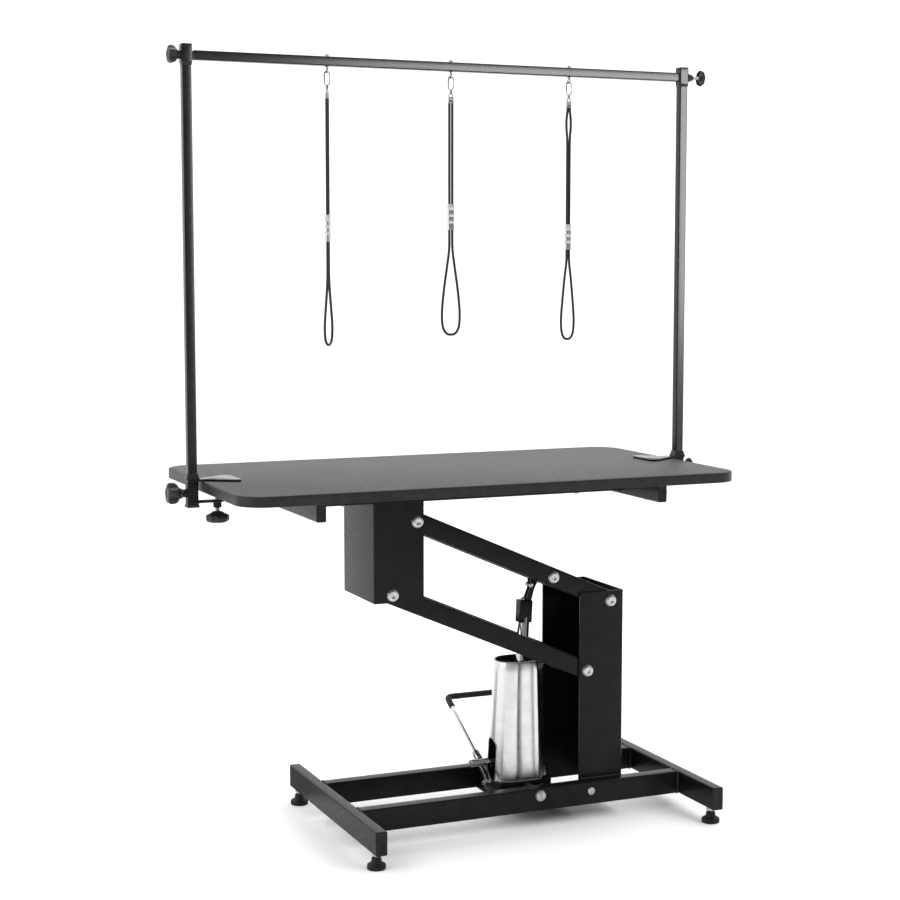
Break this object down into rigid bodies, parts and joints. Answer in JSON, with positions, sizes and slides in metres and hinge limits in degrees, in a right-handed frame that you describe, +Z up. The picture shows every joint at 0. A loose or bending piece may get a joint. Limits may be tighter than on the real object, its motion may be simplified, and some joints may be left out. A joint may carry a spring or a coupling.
{
  "type": "grooming table",
  "caption": "Hydraulic pet grooming table: H-shaped base, foot pump, parallelogram lift, rectangular top and an overhead bar with hanging nooses.",
  "frame": {"origin": "on the floor, under the middle of the table top", "axes": "+X along the table towards the column side, +Y towards the side the pedal reaches out of, +Z up"},
  "size_m": [1.239, 0.6, 1.648],
  "materials": {
    "frame_black": "black powder coat, low sheen, finely textured",
    "chrome": "bright chrome plate",
    "bolt_steel": "zinc-plated steel",
    "black_plastic": "moulded black plastic",
    "grip_rubber": "soft black rubber",
    "mat_rubber": "grey mat with a fine pebbled surface",
    "board": "raw board, seen only from below",
    "edge_trim": "dark grey extruded edging",
    "noose_cord": "braided black nylon cord"
  },
  "bodies": {
    "base": {"base_tube_left": "frame_black", "base_tube_right": "frame_black", "base_rail_front": "frame_black", "base_rail_back": "frame_black", "column": "frame_black", "pump_pivot_bolt": "bolt_steel", "column_bolt_upper": "bolt_steel", "column_bolt_lower": "bolt_steel"},
    "foot_1": {"foot_1": "black_plastic"},
    "foot_2": {"foot_2": "black_plastic"},
    "foot_3": {"foot_3": "black_plastic"},
    "foot_4": {"foot_4": "black_plastic"},
    "upper_arm": {"upper_arm_front": "frame_black", "upper_arm_back": "frame_black", "lift_bolt": "bolt_steel"},
    "lower_arm": {"lower_arm_front": "frame_black", "lower_arm_back": "frame_black"},
    "table": {"head_bracket": "frame_black", "head_bolt_upper": "bolt_steel", "head_bolt_lower": "bolt_steel", "table_board": "board", "table_mat": "mat_rubber", "edge_band": "edge_trim", "frame_cross_left": "frame_black", "frame_cross_right": "frame_black", "frame_rail_front": "frame_black", "frame_rail_back": "frame_black", "post_clamp_left": "frame_black", "post_clamp_right": "frame_black"},
    "pump": {"pump_body": "frame_black", "pump_cover": "chrome"},
    "ram": {"piston_rod": "chrome", "rod_bracket": "frame_black"},
    "pedal": {"pedal_crank": "chrome", "pedal_rod": "chrome", "pedal_grip": "grip_rubber"},
    "clamp_screw_left": {"clamp_screw_left": "black_plastic"},
    "clamp_screw_right": {"clamp_screw_right": "black_plastic"},
    "post_lock_left": {"post_lock_left": "black_plastic"},
    "post_lock_right": {"post_lock_right": "black_plastic"},
    "overhead_frame": {"post_left": "frame_black", "post_right": "frame_black", "crossbar": "frame_black", "eye_bolt_1": "chrome", "eye_bolt_2": "chrome", "eye_bolt_3": "chrome"},
    "bar_knob_left": {"bar_knob_left": "black_plastic"},
    "bar_knob_right": {"bar_knob_right": "black_plastic"},
    "hook_1": {"snap_hook_1": "chrome"},
    "noose_1": {"swivel_eye_1": "chrome", "noose_cord_1": "noose_cord"},
    "slider_1": {"noose_slider_1": "bolt_steel"},
    "hook_2": {"snap_hook_2": "chrome"},
    "noose_2": {"swivel_eye_2": "chrome", "noose_cord_2": "noose_cord"},
    "slider_2": {"noose_slider_2": "bolt_steel"},
    "hook_3": {"snap_hook_3": "chrome"},
    "noose_3": {"swivel_eye_3": "chrome", "noose_cord_3": "noose_cord"},
    "slider_3": {"noose_slider_3": "bolt_steel"}
  },
  "joints": [
    {"name": "lift", "type": "hinge", "parent": "base", "child": "upper_arm", "pos_m": [0.3477, 0, 0.478], "axis": [0, 1, 0], "range_deg": [-18.6, 18.4]},
    {"name": "lower_arm_turn", "type": "hinge", "parent": "base", "child": "lower_arm", "pos_m": [0.292, 0, 0.326], "axis": [0, 1, 0], "range_deg": [-18.6, 18.4]},
    {"name": "head_turn", "type": "hinge", "parent": "upper_arm", "child": "table", "pos_m": [-0.11048, 0, 0.67817], "axis": [0, 1, 0], "range_deg": [-18.4, 18.6]},
    {"name": "pump_tilt", "type": "hinge", "parent": "base", "child": "pump", "pos_m": [0.164, 0, 0.068], "axis": [0, 1, 0], "range_deg": [-2.2, 2.2]},
    {"name": "ram_turn", "type": "hinge", "parent": "upper_arm", "child": "ram", "pos_m": [0.21025, 0, 0.53805], "axis": [0, 1, 0], "range_deg": [-16.6, 16.8]},
    {"name": "pedal_press", "type": "hinge", "parent": "pump", "child": "pedal", "pos_m": [0.078, 0, 0.12], "axis": [1, 0, 0], "range_deg": [-24, 0], "stiffness_Nm_per_rad": 8, "springref_deg": 11.46},
    {"name": "foot_turn_1", "type": "hinge", "parent": "base", "child": "foot_1", "pos_m": [-0.262, -0.242, 0], "axis": [0, 0, 1], "continuous": true},
    {"name": "foot_turn_2", "type": "hinge", "parent": "base", "child": "foot_2", "pos_m": [-0.262, 0.242, 0], "axis": [0, 0, 1], "continuous": true},
    {"name": "foot_turn_3", "type": "hinge", "parent": "base", "child": "foot_3", "pos_m": [0.52, -0.242, 0], "axis": [0, 0, 1], "continuous": true},
    {"name": "foot_turn_4", "type": "hinge", "parent": "base", "child": "foot_4", "pos_m": [0.52, 0.242, 0], "axis": [0, 0, 1], "continuous": true},
    {"name": "clamp_screw_turn_left", "type": "hinge", "parent": "table", "child": "clamp_screw_left", "pos_m": [-0.514, 0, 0.751], "axis": [0, 0, 1], "continuous": true},
    {"name": "post_lock_turn_left", "type": "hinge", "parent": "table", "child": "post_lock_left", "pos_m": [-0.6, 0, 0.751], "axis": [1, 0, 0], "continuous": true},
    {"name": "clamp_screw_turn_right", "type": "hinge", "parent": "table", "child": "clamp_screw_right", "pos_m": [0.514, 0, 0.751], "axis": [0, 0, 1], "continuous": true},
    {"name": "post_lock_turn_right", "type": "hinge", "parent": "table", "child": "post_lock_right", "pos_m": [0.6, 0, 0.751], "axis": [1, 0, 0], "continuous": true},
    {"name": "frame_height", "type": "slide", "parent": "table", "child": "overhead_frame", "axis": [0, 0, 1], "range_m": [-0.25, 0.03]},
    {"name": "bar_knob_turn_left", "type": "hinge", "parent": "overhead_frame", "child": "bar_knob_left", "pos_m": [-0.595, 0, 1.626], "axis": [1, 0, 0], "continuous": true},
    {"name": "bar_knob_turn_right", "type": "hinge", "parent": "overhead_frame", "child": "bar_knob_right", "pos_m": [0.595, 0, 1.626], "axis": [1, 0, 0], "continuous": true},
    {"name": "hook_swing_1", "type": "hinge", "parent": "overhead_frame", "child": "hook_1", "pos_m": [-0.2706, 0, 1.6056], "axis": [1, 0, 0], "range_deg": [-70, 70]},
    {"name": "swivel_turn_1", "type": "hinge", "parent": "hook_1", "child": "noose_1", "pos_m": [-0.2706, 0, 1.5507], "axis": [0, 0, 1], "continuous": true},
    {"name": "slider_slide_1", "type": "slide", "parent": "noose_1", "child": "slider_1", "axis": [0, 0, 1], "range_m": [-0.05, 0.2]},
    {"name": "hook_swing_2", "type": "hinge", "parent": "overhead_frame", "child": "hook_2", "pos_m": [0.0059, 0, 1.6056], "axis": [1, 0, 0], "range_deg": [-70, 70]},
    {"name": "swivel_turn_2", "type": "hinge", "parent": "hook_2", "child": "noose_2", "pos_m": [0.0059, 0, 1.5507], "axis": [0, 0, 1], "continuous": true},
    {"name": "slider_slide_2", "type": "slide", "parent": "noose_2", "child": "slider_2", "axis": [0, 0, 1], "range_m": [-0.03, 0.19]},
    {"name": "hook_swing_3", "type": "hinge", "parent": "overhead_frame", "child": "hook_3", "pos_m": [0.2847, 0, 1.6056], "axis": [1, 0, 0], "range_deg": [-70, 70]},
    {"name": "swivel_turn_3", "type": "hinge", "parent": "hook_3", "child": "noose_3", "pos_m": [0.2847, 0, 1.5507], "axis": [0, 0, 1], "continuous": true},
    {"name": "slider_slide_3", "type": "slide", "parent": "noose_3", "child": "slider_3", "axis": [0, 0, 1], "range_m": [-0.012, 0.16]}
  ],
  "couplings": [
    {"joint": "lower_arm_turn", "follows": "lift", "ratio": 1},
    {"joint": "head_turn", "follows": "lift", "ratio": -1},
    {"joint": "pump_tilt", "follows": "lift", "ratio": 0.108},
    {"joint": "ram_turn", "follows": "lift", "ratio": -0.892}
  ]
}
